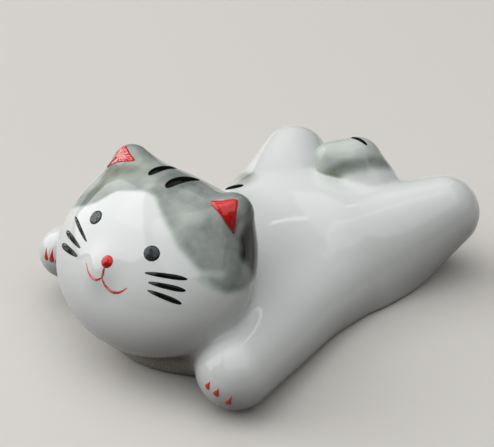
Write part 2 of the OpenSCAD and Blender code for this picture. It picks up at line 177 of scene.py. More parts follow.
def skull_form(q):
    depth = np.where(q[:, 2] > 0, HEAD_HALF[2], NAPE_BULGE)[:, None]
    half = np.concatenate([np.repeat(HEAD_HALF[None, :2], len(q), 0), depth], 1)
    reach = np.linalg.norm(q / half, axis=1)
    return reach * (reach - 1) / np.linalg.norm(q / half ** 2, axis=1)


def head_form(p):
    q = to_head(p)
    rise = HEAD_HALF[2] * math.sqrt(1 - MUZZLE @ MUZZLE) + MUZZLE_OUT - MUZZLE_R
    muzzle = np.append(MUZZLE * HEAD_HALF[:2], rise)
    face = blend(skull_form(q), np.linalg.norm(q - muzzle, axis=1) - MUZZLE_R, MUZZLE_BLEND)
    ear = limb(mirrored(q), EAR_ROOT, EAR_ROOT + EAR_WAY * EAR_LEN, EAR_ROOT_R, EAR_TIP_R)
    return blend(face, ear, EAR_BLEND)


def tail_form(p):
    return blend(
        limb(p, TAIL_ROOT, TAIL_BEND, TAIL_ROOT_R, TAIL_BEND_R),
        limb(p, TAIL_BEND, TAIL_TIP, TAIL_BEND_R, TAIL_TIP_R),
        TAIL_BEND_BLEND,
    )


def cat_form(p):
    """The whole glazed figure, cut flat at the foot with a softened edge."""
    figure = blend(body_form(p), tail_form(p), TAIL_GLAZE)
    figure = blend(figure, head_form(p), NECK_GLAZE) + SETBACK
    return -blend(-figure, p[:, 2], FOOT_EDGE)


def slope(form, p):
    """Which way a form's distance grows, and how fast."""
    steps = np.eye(3) * SLOPE_STEP
    return np.stack([(form(p + d) - form(p - d)) / (2 * SLOPE_STEP) for d in steps], 1)


def draw_to(form, p, passes=4):
    """Moves points straight onto a form."""
    for _ in range(passes):
        grow = slope(form, p)
        p = p - (form(p) / np.maximum((grow ** 2).sum(1), SLOPE_FLOOR))[:, None] * grow
    return p


def let_down(form, p, way, passes=60):
    """Lets points fall along a direction until they lie on a form."""
    fallen = np.zeros(len(p))
    for _ in range(passes):
        fallen += form(p + fallen[:, None] * way)
    return p + fallen[:, None] * way


# Small helpers for meshes
def places(obj):
    flat = np.empty(len(obj.data.vertices) * 3, np.float32)
    obj.data.vertices.foreach_get("co", flat)
    return flat.reshape(-1, 3).astype(float)


def place_all(obj, points):
    obj.data.vertices.foreach_set("co", np.asarray(points, np.float32).ravel())
    obj.data.update()


def keep_attribute(obj, name, values):
    layer = obj.data.attributes.new(name, "FLOAT", "POINT")
    layer.data.foreach_set("value", np.asarray(values, np.float32))


def keep_places(obj, name, values):
    layer = obj.data.attributes.new(name, "FLOAT_VECTOR", "POINT")
    layer.data.foreach_set("vector", np.asarray(values, np.float32).ravel())


def only(obj):
    bpy.ops.object.select_all(action="DESELECT")
    obj.select_set(True)
    bpy.context.view_layer.objects.active = obj


def apply_modifier(obj, kind, **settings):
    only(obj)
    bpy.ops.object.modifier_add(type=kind)
    modifier = obj.modifiers[-1]
    for key, value in settings.items():
        setattr(modifier, key, value)
    bpy.ops.object.modifier_apply(modifier=modifier.name)


def clay_blank():
    """One closed shell over all the luted pieces, still rough where they meet."""
    gathered = bmesh.new()
    for name in PORCELAIN:
        gathered.from_mesh(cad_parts[name].data)
    bmesh.ops.remove_doubles(gathered, verts=gathered.verts, dist=WELD)
    mesh = bpy.data.meshes.new("glazed_figure")
    gathered.to_mesh(mesh)
    gathered.free()
    blank = bpy.data.objects.new("glazed_figure", mesh)
    bpy.context.collection.objects.link(blank)
    apply_modifier(blank, "REMESH", mode="VOXEL", voxel_size=VOXEL)
    return blank


def make_figure():
    figure = clay_blank()
    for _ in range(SMOOTH_PASSES):
        apply_modifier(figure, "SMOOTH", factor=SMOOTH_SHARE, iterations=SMOOTH_STEPS)
        place_all(figure, draw_to(cat_form, places(figure)))
    points = places(figure)
    points[:, 2] = np.maximum(points[:, 2], 0)
    place_all(figure, points)
    only(figure)
    bpy.ops.object.shade_smooth()
    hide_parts(*PORCELAIN)
    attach(figure, "root")
    return figure


# Washes of thinned pigment under the glaze, with a painted highlight on the cheeks and painted
# shade under the tail among them
FACE_WAY = from_head([0, 0, 0])[0] - from_head([0, 0, 1])[0]
SIDE_WAY = np.array([-1.0, 0, 0])
BACK_WAY = np.array([0, 1.0, 0])
DOWN = np.array([0.0, 0.0, -1.0])
# How far out places start before they are let down onto the clay, in millimetres
WASH_START, CHEEK_START, MARK_START, CROWN_START, PAW_START = 16, 20, 12, 3, 30


def ramp(x, low, high):
    """0 below one level, 1 above the other and smooth between them."""
    t = np.clip((x - low) / (high - low), 0, 1)
    return t * t * (3 - 2 * t)


def along_line(p, line):
    """Distance from points to a line of brush places."""
    best = np.full(len(p), 1.0)
    for a, b in zip(line[:-1], line[1:]):
        run = b - a
        share = np.clip((p - a) @ run / (run @ run), 0, 1)
        best = np.minimum(best, np.linalg.norm(p - a - share[:, None] * run, axis=1))
    return best


def dab(p, line, width, soft, strength):
    """How much pigment one pull of a wet brush leaves."""
    return strength * (1 - ramp(along_line(p, line), (width - soft) * MM, (width + soft) * MM))


def dabs(p, pulls, put):
    """What each of a set of pulls leaves, with its places put on the clay."""
    return [dab(p, put(line), *pull) for line, *pull in pulls]


def layered(*coats):
    """Coats of pigment over one another."""
    clear = 1.0
    for coat in coats:
        clear = clear * (1 - coat)
    return 1 - clear


def on_face(line):
    """Places given across and up the face, on its surface."""
    flat = mm(*[(across, up, WASH_START) for across, up in line])
    return let_down(head_form, from_head(flat), FACE_WAY)


def on_cheek(line):
    """Places given forwards and up on the side of the head, on its surface."""
    flat = mm(*[(CHEEK_START, up, ahead) for ahead, up in line])
    return let_down(head_form, from_head(flat), SIDE_WAY)


def on_body(line):
    return mm(*line)


# Where the white blaze of the face ends and the wash begins: across the head and up the face,
# and on its sides forwards and up
BLAZE_ACROSS = mm(
    -15.5, -11.5, -9, -7.5, -6.2, -5.2, -4.3, -3, -1.5, 0.3, 1.3, 3, 5, 7, 9, 11, 13, 15.5,
)
BLAZE_UP = mm(0, 0.6, 1.3, 1.9, 2.8, 4.3, 5.2, 5.8, 6.4, 7, 6.9, 5.9, 4.8, 3.8, 2.6, 1.9, 1.1, 0.4)
CHEEK_AHEAD = mm(-4, -2.5, -1, 0.5, 2, 3.5, 5)
CHEEK_UP = mm(5, 4.2, 3, 1.9, 1, 0.8, 1.4)
# Where the border on the cheek gives way to the one on the face
FACE_BEGINS = mm(4, 5.6)
# The border is sharper on the cat's right, and the wash thins out over this span of it
SOFT_ACROSS, SOFT_EDGE = mm(-1, 5), mm(0.45, 0.7)
SOFT_SPAN = -0.7, 1
BASE_WASH = 0.75

# Pulls of the brush over and out of the base wash: a line of places, half width, softness, strength
FACE_PULLS = (
    ([(-12, 6), (-9.5, 6.8), (-7.3, 7.7), (-5.6, 8.9)], 0.8, 0.6, 0.36),
    ([(-9, 2.8), (-7.4, 3.4), (-6.2, 4.4)], 1, 0.7, 0.5),
    ([(0.1, 7.5), (1.6, 7.4)], 0.6, 0.5, 0.45),
    ([(-0.2, 11.2), (0, 9.2), (0.7, 8), (2.3, 8.4), (2.8, 10.6)], 0.9, 0.7, 0.55),
    ([(2.6, 8.4), (5, 8.6), (8, 9.3)], 0.7, 0.6, 0.32),
    ([(3.4, 10.8), (7.2, 10.7)], 0.9, 0.8, 0.2),
    ([(9.6, 6.2), (11.6, 5.2), (12.6, 3.4)], 1.5, 0.9, 0.15),
    ([(3.4, 6.9), (5.6, 5.6), (7.4, 4.6), (9, 3.6)], 0.8, 0.6, 0.3),
)
FACE_LIFTS = (
    ([(-6.2, 6), (-4.6, 7), (-3.6, 8)], 1.5, 1, 0.2),
    ([(-0.8, 7.8), (-1.8, 8.6)], 1, 0.9, 0.35),
    ([(-12.5, 4.6), (-10.2, 5.2)], 1.5, 1, 0.32),
    ([(4.6, 6.4), (8.2, 6.6)], 1.1, 0.9, 0.25),
    ([(-8.5, 10.6), (-5, 10.2), (-4.4, 12)], 1.4, 1.1, 0.25),
    ([(8.6, 3.6), (7.4, 4.6)], 0.8, 0.7, 0.3),
)
CHEEK_PULLS = (
    ([(5.2, 6.6), (6.3, 5.8), (6.7, 4.6), (6.2, 3.2), (5, 2)], 0.5, 0.45, 0.3),
    ([(4.7, 0.9), (3.5, 0.8), (2, 1.3), (0.4, 2.2), (-1, 3)], 0.5, 0.45, 0.3),
    ([(3.4, 6), (2, 4.8), (0.4, 4.4)], 1.2, 0.9, 0.2),
)
# Places where the wash is thinned on each side of the head; the second, high up by the ear, is a
# painted highlight
CHEEK_LIFTS_AND_HIGHLIGHT = (
    ([(5.4, 1.2), (4.5, 1.7), (3.4, 2.5)], 0.45, 0.4, 0.45),
    ([(2.9, 8.9), (2.6, 8.1)], 0.4, 0.3, 0.35),
)
# The near-black stroke behind each ear
CHEEK_SOOT = (
    ([(1.6, 11), (0.7, 9.8), (-0.4, 8.6)], 1.4, 1.1, 0.65),
    ([(0.5, 8.2), (-0.3, 7.2), (-1.8, 6.4)], 2, 0.9, 0.97),
    ([(1.2, 6), (-2.8, 5.9)], 0.7, 0.6, 0.75),
)
# The tail's wash. Its dark band along the lower edge and the pulls under the tip are partly pigment
# and partly painted shade in the crease where the tail lies on the back
TAIL_PULLS_AND_SHADE = (
    (
        [(-1.6, 16, 16), (-0.2, 17.4, 17.9), (2.2, 19.4, 18.6), (4.4, 21.2, 18), (5, 23.4, 16.8)],
        2.6, 0.9, 0.34,
    ),
    (
        [
            (1.2, 16.4, 14.3), (2.7, 17, 15.6), (4.4, 18.1, 16.4), (5.8, 20.3, 16.5),
            (6.6, 22.4, 15.9),
        ],
        1, 0.8, 0.7,
    ),
    ([(1.4, 16.5, 14.4), (2.8, 17, 15.7), (3.6, 17.5, 16.1)], 0.9, 0.8, 0.5),
    ([(-0.6, 16, 13.9), (0.6, 16.4, 13.7), (1.7, 16.9, 13.7)], 0.7, 0.6, 0.55),
    ([(-2.2, 16.2, 15.2), (-1.7, 16.3, 16.6)], 0.6, 0.6, 0.25),
)
BACK_PULLS = (
    ([(-13.6, 11.4, 10.5), (-11.5, 10.3, 11.8), (-9.8, 9.6, 12.4)], 1, 0.9, 0.6),
    ([(-13.2, 9.4, 10.6), (-10.8, 8.6, 11.9), (-9, 8.2, 12.4)], 1.7, 1.3, 0.42),
)
# Where the wash on the brow and under the tail's tip turns olive
FACE_MOSS = (([(-12, 5), (-8.6, 5.4), (-5.6, 8.4)], 2.2, 1.6, 0.5),)
TAIL_MOSS = (([(-0.6, 16, 13.9), (0.6, 16.4, 13.7), (1.9, 16.8, 14)], 0.8, 0.8, 1),)
# How far off the head and the tail their paint fades out
NEAR_HEAD, NEAR_TAIL = mm(0.15, 0.5), mm(0.1, 0.4)
# The bare clay fades out between these heights over the foot, and under the chin between these
# heights, places along the body, places to each side and distances off the head
RIM_HIGH = mm(0.35, 0.6)
CHIN_HIGH, CHIN_BACK = mm(4.2, 5), mm(-18, -16)
CHIN_SIDE, CHIN_CLEAR = mm(11.4, 12.2), mm(0.05, 0.2)


def head_wash_and_highlight(p):
    q, both = to_head(p), mirrored(p)
    front = np.interp(q[:, 0], BLAZE_ACROSS, BLAZE_UP)
    side = np.interp(q[:, 2], CHEEK_AHEAD, CHEEK_UP)
    border = side + (front - side) * ramp(q[:, 2], *FACE_BEGINS)
    soft = np.interp(q[:, 0], SOFT_ACROSS, SOFT_EDGE)
    base = BASE_WASH * ramp((q[:, 1] - border) / soft, *SOFT_SPAN)
    # The lifts thin the wash; the one high on each cheek is a painted highlight
    for lift in dabs(p, FACE_LIFTS, on_face) + dabs(both, CHEEK_LIFTS_AND_HIGHLIGHT, on_cheek):
        base = base * (1 - lift)
    pulls = dabs(p, FACE_PULLS, on_face) + dabs(both, CHEEK_PULLS, on_cheek)
    return layered(base, *pulls) * (1 - ramp(head_form(p), *NEAR_HEAD))


def soot_head(p):
    soot = layered(*dabs(mirrored(p), CHEEK_SOOT, on_cheek))
    return soot * (1 - ramp(head_form(p), *NEAR_HEAD))


def body_wash_and_shade(p):
    # The tail's wash is partly painted shade in the crease under it
    tail = layered(*dabs(p, TAIL_PULLS_AND_SHADE, on_body)) * (1 - ramp(tail_form(p), *NEAR_TAIL))
    return layered(tail, layered(*dabs(p, BACK_PULLS, on_body)))


def bare_clay(p):
    """Where no glaze lies: the foot, a thin rim above it and the clay under the chin."""
    rim = 1 - ramp(p[:, 2], *RIM_HIGH)
    chin = (1 - ramp(p[:, 2], *CHIN_HIGH)) * (1 - ramp(p[:, 1], *CHIN_BACK))
    chin = chin * (1 - ramp(np.abs(p[:, 0]), *CHIN_SIDE))
    return layered(rim, chin * ramp(head_form(p), *CHIN_CLEAR))


def paint_washes(figure):
    p = places(figure)
    # The wash also holds the painted highlight on the cheeks and the painted shade under the tail
    keep_attribute(figure, "wash", layered(head_wash_and_highlight(p), body_wash_and_shade(p)))
    keep_attribute(figure, "soot", soot_head(p))
    moss = dabs(p, TAIL_MOSS, on_body) + dabs(p, FACE_MOSS, on_face)
    keep_attribute(figure, "moss", layered(*moss))
    keep_attribute(figure, "bare", bare_clay(p))


# Enamel marks: how high they stand, how deep their edge sinks and how thick their root is
ENAMEL_HIGH = 0.09 * MM
ENAMEL_SUNK = 0.03 * MM
ENAMEL_ROOT = 0.12 * MM
# A mark darkens towards one side, from this share of the way there, counted from its middle
DARKER_FROM = -0.4
# A stroke's mesh, and the step along it that gives its way
STROKE_STEPS, STROKE_ROWS, STROKE_STEP = 40, 10, 0.01
# Brush places run this share of the length along a stroke, so bristle marks come out long
BRISTLE_SHARE = 0.4
# The outer share of a stroke and of a dot in which the enamel thins out
STROKE_THIN, DOT_THIN = 0.3, 0.15
DOT_SIDES, DOT_CUTS = 48, 5
# A dot's brush places: how far they run round it and out from its middle
DOT_ROUND, DOT_OUT = 2.4, 0.6
OUTLINE_TURNS = np.radians(np.arange(0, 360, 30))


def smooth_between(a, b, c, d, t):
    """Places from b to c on the smooth curve that comes from a and goes on to d."""
    square, cube = 2 * a - 5 * b + 4 * c - d, 3 * b - a - 3 * c + d
    return (2 * b + (c - a) * t + square * t ** 2 + cube * t ** 3) / 2


def curve_through(line, share):
    """Places along a smooth curve through a few points."""
    line = np.asarray(line, float)
    n = len(line) - 1
    i = np.minimum((share * n).astype(int), n - 1)
    t = (share * n - i)[:, None]
    b, c = line[i], line[i + 1]
    a = np.where((i > 0)[:, None], line[np.maximum(i - 1, 0)], 2 * b - c)
    d = np.where((i + 2 <= n)[:, None], line[np.minimum(i + 2, n)], 2 * c - b)
    return smooth_between(a, b, c, d, t)


def round_curve(line, share):
    """Places along a closed smooth curve through a few points."""
    line = np.asarray(line, float)
    n = len(line)
    i = (share * n).astype(int)
    t = (share * n - i)[:, None]
    return smooth_between(*(line[(i + k) % n] for k in (-1, 0, 1, 2)), t)


def fire_on(mark, form, way, load, ink, brush, darker_way=DOWN, dry=0.0):
    """Settles a flat mark on a form, crowned where it carries most enamel, and roots it."""
    landed = let_down(form, places(mark), way)
    out = slope(form, landed)
    out /= np.linalg.norm(out, axis=1, keepdims=True)
    height = load * (ENAMEL_HIGH + ENAMEL_SUNK) - ENAMEL_SUNK
    place_all(mark, landed + out * height[:, None])
    middle = landed.mean(0)
    low = (landed - middle) @ darker_way
    keep_attribute(mark, "ink", ink)
    keep_attribute(mark, "darker_side", ramp(low / np.abs(low).max(), DARKER_FROM, 1))
    keep_attribute(mark, "dry", np.full(len(landed), dry))
    keep_places(mark, "brush", brush + [0, 0, middle[0] / MM + middle[2] / MM])
    apply_modifier(mark, "SOLIDIFY", thickness=ENAMEL_ROOT, offset=-1, use_even_offset=False)
    only(mark)
    bpy.ops.object.mode_set(mode="EDIT")
    bpy.ops.mesh.select_all(action="SELECT")
    bpy.ops.mesh.normals_make_consistent(inside=False)
    bpy.ops.object.mode_set(mode="OBJECT")
    bpy.ops.object.shade_smooth()


def brush_stroke(name, form, line, width, way, peak, blunt, ends=(1, 1), dry=0.0):
    """A raised stroke that swells to its full width in millimetres at its peak and thins to its
    blunt ends. ends says how much enamel its start and its end carry."""
    bpy.ops.mesh.primitive_grid_add(x_subdivisions=STROKE_STEPS, y_subdivisions=STROKE_ROWS, size=2)
    stroke = bpy.context.object
    stroke.name = stroke.data.name = name
    grid = places(stroke)
    s, t = (grid[:, 0] + 1) / 2, grid[:, 1]
    before, after = np.maximum(s - STROKE_STEP, 0), np.minimum(s + STROKE_STEP, 1)
    side = np.cross(curve_through(line, after) - curve_through(line, before), way)
    side /= np.linalg.norm(side, axis=1, keepdims=True)
    from_peak = np.where(s < peak, (peak - s) / peak, (s - peak) / (1 - peak))
    swell = np.sqrt(1 - (1 - blunt * blunt) * from_peak ** 2)
    place_all(stroke, curve_through(line, s) + side * (t * swell * width * MM / 2)[:, None])
    full = ends[0] + (1 - ends[0]) * ramp(s, 0, peak)
    full = full * (1 - (1 - ends[1]) * ramp(s, peak, 1))
    length = np.linalg.norm(np.diff(np.asarray(line), axis=0), axis=1).sum() / MM
    brush = np.stack([s * length * BRISTLE_SHARE, t * swell * width, 0 * s], 1)
    load = (1 - t ** 2) * ramp(swell, 0, 1) * full
    fire_on(stroke, form, way, load, ramp(1 - np.abs(t), 0, STROKE_THIN) * full, brush, dry=dry)
    return stroke


def enamel_dot(name, form, outline, way, crown, darker_way=DOWN, dry=0.0):
    """A raised dot of enamel inside a closed outline."""
    bpy.ops.mesh.primitive_circle_add(vertices=DOT_SIDES, radius=1, fill_type="TRIFAN")
    dot = bpy.context.object
    dot.name = dot.data.name = name
    bpy.ops.object.mode_set(mode="EDIT")
    bpy.ops.mesh.select_all(action="SELECT")
    bpy.ops.mesh.subdivide(number_cuts=DOT_CUTS)
    bpy.ops.object.mode_set(mode="OBJECT")
    disc = places(dot)
    out = np.minimum(np.hypot(disc[:, 0], disc[:, 1]), 1)
    turn = np.arctan2(disc[:, 1], disc[:, 0]) / (2 * math.pi) % 1
    middle = np.mean(outline, axis=0)
    place_all(dot, middle + (round_curve(outline, turn) - middle) * out[:, None])
    spin = turn * 2 * math.pi
    brush = np.stack([np.cos(spin) * DOT_ROUND, np.sin(spin) * DOT_ROUND, out * DOT_OUT], 1)
    load = (1 - out ** 4) * crown
    fire_on(dot, form, way, load, ramp(1 - out, 0, DOT_THIN), brush, darker_way, dry)
    return dot


def joined(name, parts):
    only(parts[0])
    for part in parts[1:]:
        part.select_set(True)
    bpy.ops.object.join()
    parts[0].name = name
    return parts[0]


def before_face(across, up):
    """A place in front of the face, from which a mark is let down."""
    return from_head(mm(across, up, MARK_START))[0]


def face_line(*points):
    return [before_face(*point) for point in points]


def circle_on_face(across, up, wide, high):
    return [
        before_face(across + math.cos(turn) * wide / 2, up + math.sin(turn) * high / 2)
        for turn in OUTLINE_TURNS
    ]


# Eyes and nose: piece, node and enamel, then place across and up the face, width and height, and
# how high it is crowned and how dry it is
FACE_DOTS = (
    ("eye_enamel_left", "eye_left", "charcoal_enamel", (6.43, 0.51, 2.15, 1.95), 1.4, 0.2),
    ("eye_enamel_right", "eye_right", "charcoal_enamel", (-4.57, 0.94, 2.2, 1.95), 1.4, 0.7),
    ("nose_enamel", "nose", "red_enamel", (1.62, -3.08, 1.6, 1.65), 1.6, 0),
)
# Each stroke of the mouth: its places, its width, its peak and how much enamel its ends carry
MOUTH = (
    ([(1.6, -3.75), (1.76, -4.45), (1.79, -5.2)], 0.32, 0.5, (1, 1)),
    ([(1.79, -5.14), (1, -5.68), (0, -5.72), (-0.95, -5.3), (-1.9, -4.55)], 0.3, 0.3, (0.9, 0.1)),
    (
        [(1.77, -5.1), (2.45, -5.7), (3.5, -5.93), (4.6, -5.58), (5.5, -4.6)],
        0.34, 0.45, (0.7, 0.15),
    ),
)
MOUTH_BLUNT, MOUTH_DRY = 0.25, 0.45
# Each whisker: places across and up the face from its inner end, its width and how dry it is
WHISKERS = {
    "left": (
        ([(6.9, -1.92), (9.15, -1.03), (11.6, 0)], 0.62, 0),
        ([(7.8, -2.7), (9.85, -2.05), (12, -1.29)], 0.66, 0),
        ([(8.1, -3.57), (10.1, -3.23), (12.15, -2.86)], 0.64, 0),
    ),
    "right": (
        ([(-3.7, -2.3), (-6.25, -1.32), (-9.1, -0.27)], 0.56, 0.6),
        ([(-4.4, -3.4), (-7.1, -2.88), (-9.5, -2.46)], 0.74, 0.8),
        ([(-4.3, -4.5), (-6.8, -4.39), (-9.3, -4.26)], 0.86, 0.8),
    ),
}
WHISKER_PEAK, WHISKER_BLUNT, WHISKER_ENDS = 0.7, 0.2, (0.15, 0.9)
# Each inner ear: its outline, the way towards which its colour darkens and how dry it is. The right
# ear's pale dry middle is a painted reflection
INNER_EAR = {
    "left": (
        [
            (8.25, 9.55), (9.6, 10.35), (10.6, 11.2), (11.1, 11.1),
            (11.75, 9.8), (12.3, 7.8), (12, 7.8), (10.3, 8.8),
        ],
        from_head([0.55, -0.8, 0])[0] - from_head([0, 0, 0])[0],
        0.03,
    ),
    # Its pale dry middle is a painted reflection
    "right": (
        [
            (-7.05, 9.95), (-8.45, 10.6), (-10.25, 11.3), (-11, 11.1),
            (-10.75, 9.6), (-10.7, 7.8), (-10.6, 7.7), (-9.05, 8.7),
        ],
        DOWN,
        0.85,
    ),
}
EAR_CROWN = 0.9
# Stripes: places on the crown from the head's middle, the others from the foot's, and their widths
CROWN_STRIPES = (
    ([(-2.7, 9.04, 5.6), (-2.95, 10.15, 4.7), (-2.95, 11.4, 3.1), (-2.6, 11.8, 1.9)], 1.45),
    ([(1.37, 8.56, 6), (1.2, 9.85, 5), (1.5, 11.15, 3.55), (2.1, 11.8, 2.1)], 1.85),
)
BACK_STRIPE = ([(-11.6, 6.7, 16), (-9.9, 6.7, 16), (-8, 6.9, 16)], 1.4)
TAIL_STRIPE = ([(0.9, 20.8, 22), (2.4, 20.9, 22), (4, 20.9, 22)], 0.8)
STRIPE_PEAK, STRIPE_BLUNT = 0.5, 0.12
# Each toe mark: the middle of its round end and its pointed top, across and up the front of the
# paw, and its width
TOE_MARKS = {
    "left": (
        ((16.55, 5.25), (16.9, 6.15), 0.8),
        ((17.9, 4.8), (18.2, 5.75), 0.84),
        ((19.2, 3.75), (19.7, 5.05), 0.84),
    ),
    "right": (
        ((-17.95, 7.95), (-18.4, 9.3), 0.76),
        ((-17, 8), (-17.3, 9.5), 0.86),
        ((-16.2, 7.8), (-16.3, 9.05), 0.72),
    ),
}
TOE_CROWN = 0.9
# How a drop runs out: how late its point is drawn up, how late it narrows and how much
DROP_LATE, DROP_NARROWS, DROP_NARROWING = 5, 4, 0.6


def toe_drop(foot, tip, wide):
    """The outline of a drop over a paw, round below and drawn out to a point above,
    and the way down to the paw."""
    before_paw = mm(*[(across, -PAW_START, up) for across, up in (foot, tip)])
    foot, tip = let_down(body_form, before_paw, BACK_WAY)
    out = unit(slope(body_form, (foot + tip)[None] / 2)[0])
    up, reach = unit(tip - foot), np.linalg.norm(tip - foot)
    across, radius = unit(np.cross(up, out)), wide * MM / 2
    outline = []
    for turn in OUTLINE_TURNS:
        drawn = max(math.sin(turn), 0)
        high = math.sin(turn) * radius + drawn ** DROP_LATE * (reach - radius)
        half = math.cos(turn) * radius * (1 - DROP_NARROWING * drawn ** DROP_NARROWS)
        outline.append(foot + across * half + up * high + out * MM)
    return outline, -out


# Each enamel's colour and how glossy it is
ENAMELS = {
    "red_enamel": ("red", 1),
    "black_enamel": ("black", 0.25),
    "charcoal_enamel": ("charcoal", 0.6),
}


def make_enamel():
    enamels = {name: fired_enamel(name, *finish) for name, finish in ENAMELS.items()}

    def stands_for(piece, node, slot):
        piece.data.materials.clear()
        piece.data.materials.append(enamels[slot])
        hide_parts(node)
        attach(piece, "root")

    for name, node, slot, oval, crown, dry in FACE_DOTS:
        dot = enamel_dot(name, head_form, circle_on_face(*oval), FACE_WAY, crown, dry=dry)
        stands_for(dot, node, slot)
    mouth = joined("mouth_enamel", [
        brush_stroke(
            f"mouth_line_{i}", head_form, face_line(*line), width, FACE_WAY, peak, MOUTH_BLUNT,
            ends, MOUTH_DRY,
        )
        for i, (line, width, peak, ends) in enumerate(MOUTH)
    ])
    stands_for(mouth, "mouth", "red_enamel")
    for side, lines in WHISKERS.items():
        whiskers = joined(f"whisker_enamel_{side}", [
            brush_stroke(
                f"whisker_{side}_{i}", head_form, face_line(*line), width, FACE_WAY,
                WHISKER_PEAK, WHISKER_BLUNT, WHISKER_ENDS, dry,
            )
            for i, (line, width, dry) in enumerate(lines)
        ])
        stands_for(whiskers, f"whiskers_{side}", "black_enamel")
    stripes = []
    for i, (line, width) in enumerate(CROWN_STRIPES):
        line = [from_head(mm(*place))[0] + mm(0, 0, CROWN_START) for place in line]
        stripes.append(brush_stroke(
            f"crown_stripe_{i}", head_form, line, width, DOWN, STRIPE_PEAK, STRIPE_BLUNT,
        ))
    stands_for(joined("crown_stripe_enamel", stripes), "crown_stripes", "black_enamel")
    for node, (line, width), form in (
        ("back_stripe", BACK_STRIPE, body_form), ("tail_stripe", TAIL_STRIPE, tail_form),
    ):
        stripe = brush_stroke(
            f"{node}_enamel", form, on_body(line), width, DOWN, STRIPE_PEAK, STRIPE_BLUNT,
        )
        stands_for(stripe, node, "black_enamel")
    for side, drops in TOE_MARKS.items():
        toes = joined(f"toe_enamel_{side}", [
            enamel_dot(f"toe_{side}_{i}", body_form, *toe_drop(*drop), TOE_CROWN)
            for i, drop in enumerate(drops)
        ])
        stands_for(toes, f"toe_marks_{side}", "red_enamel")
    for side, (outline, darker_way, dry) in INNER_EAR.items():
        ear = enamel_dot(
            f"inner_ear_enamel_{side}", head_form, face_line(*outline), FACE_WAY, EAR_CROWN,
            darker_way, dry,
        )
        stands_for(ear, f"inner_ear_{side}", "red_enamel")


HEX = {
    "white": "#E6E9E7",
    "wash": "#747E76",
    "wash_thin": "#6C8B6E",
    "olive": "#7F8664",
    "soot": "#161713",
    "bisque": "#E6E1D8",
    "bisque_grain": "#BAB4AA",
    "painted_glint": "#F2F0EA",
    "red_thin": "#E56258",
    "red": "#E3201C",
    "red_deep": "#A00C0F",
    # Pale dry red: dry brush on the mouth, and a painted reflection in the right inner ear
    "red_dry": "#F3D3CF",
    "black_thin": "#5C625F",
    "black": "#0C0D0C",
    "black_deep": "#080908",
    "black_dry": "#A3A9A5",
    "charcoal_thin": "#1C2124",
    "charcoal": "#2C3337",
    "charcoal_deep": "#14181A",
    "charcoal_dry": "#8E969A",
    "floor": "#DAD7D2",
    "floor_bounce": "#3A3530",
    "room": "#F4F6FA",
}


def colour(name):
    """An sRGB hex value as linear red, green, blue and alpha."""
    text = HEX[name].lstrip("#")
    channels = [int(text[i:i + 2], 16) / 255 for i in (0, 2, 4)]
    return (*[c / 12.92 if c <= 0.04045 else ((c + 0.055) / 1.055) ** 2.4 for c in channels], 1)


def set_inputs(tree, node, inputs):
    """Links a node's inputs to sockets or gives them plain values."""
    for key, value in dict(inputs).items():
        if isinstance(value, bpy.types.NodeSocket):
            tree.links.new(value, node.inputs[key])
        else:
            node.inputs[key].default_value = value


def add_node(tree, kind, output, inputs=(), **settings):
    """Adds one node with its settings and its inputs, and gives the output that is used."""
    node = tree.nodes.new(kind)
    for key, value in settings.items():
        setattr(node, key, value)
    set_inputs(tree, node, inputs)
    return node.outputs[output]


def new_material(name):
    material = bpy.data.materials.new(name)
    material.use_nodes = True
    tree = material.node_tree
    return material, tree, tree.nodes["Principled BSDF"]


# Patches in the glaze and the clay: their size, their detail and their distortion
POOLS = 3.4 * MM, 3, 0.6
STREAKS = 1.1 * MM, 3, 0
RIPPLES = 5 * MM, 2, 0
# Real grit and its sparkles are finer than 0.1 mm; the sparkles are painted glints, bright specks
# in the clay's colour. They are drawn this coarse so that they show
GRIT = 0.16 * MM, 2, 0
SPARKLES = 0.24 * MM, 1, 0
# How much pools and streaks change a wash, and what they leave of it at least
POOL_LOAD, STREAK_LOAD = (0.5, 0.75), (0.3, 0.85)
# Levels between which a wash is thick, grit is dark and a sparkle is bright
THICK_WASH, DARK_GRIT, BRIGHT_SPARKLE = (0.2, 0.8), (0.4, 0.65), (0.66, 0.74)
GLAZE_IOR, GLAZE_ROUGHNESS = 1.45, 0.07
CLAY_ROUGHNESS, BARE_ROUGHER = 0.5, 0.3
RIPPLE_STRENGTH, RIPPLE_HIGH, GRIT_HIGH = 0.5, 0.12 * MM, 0.06 * MM


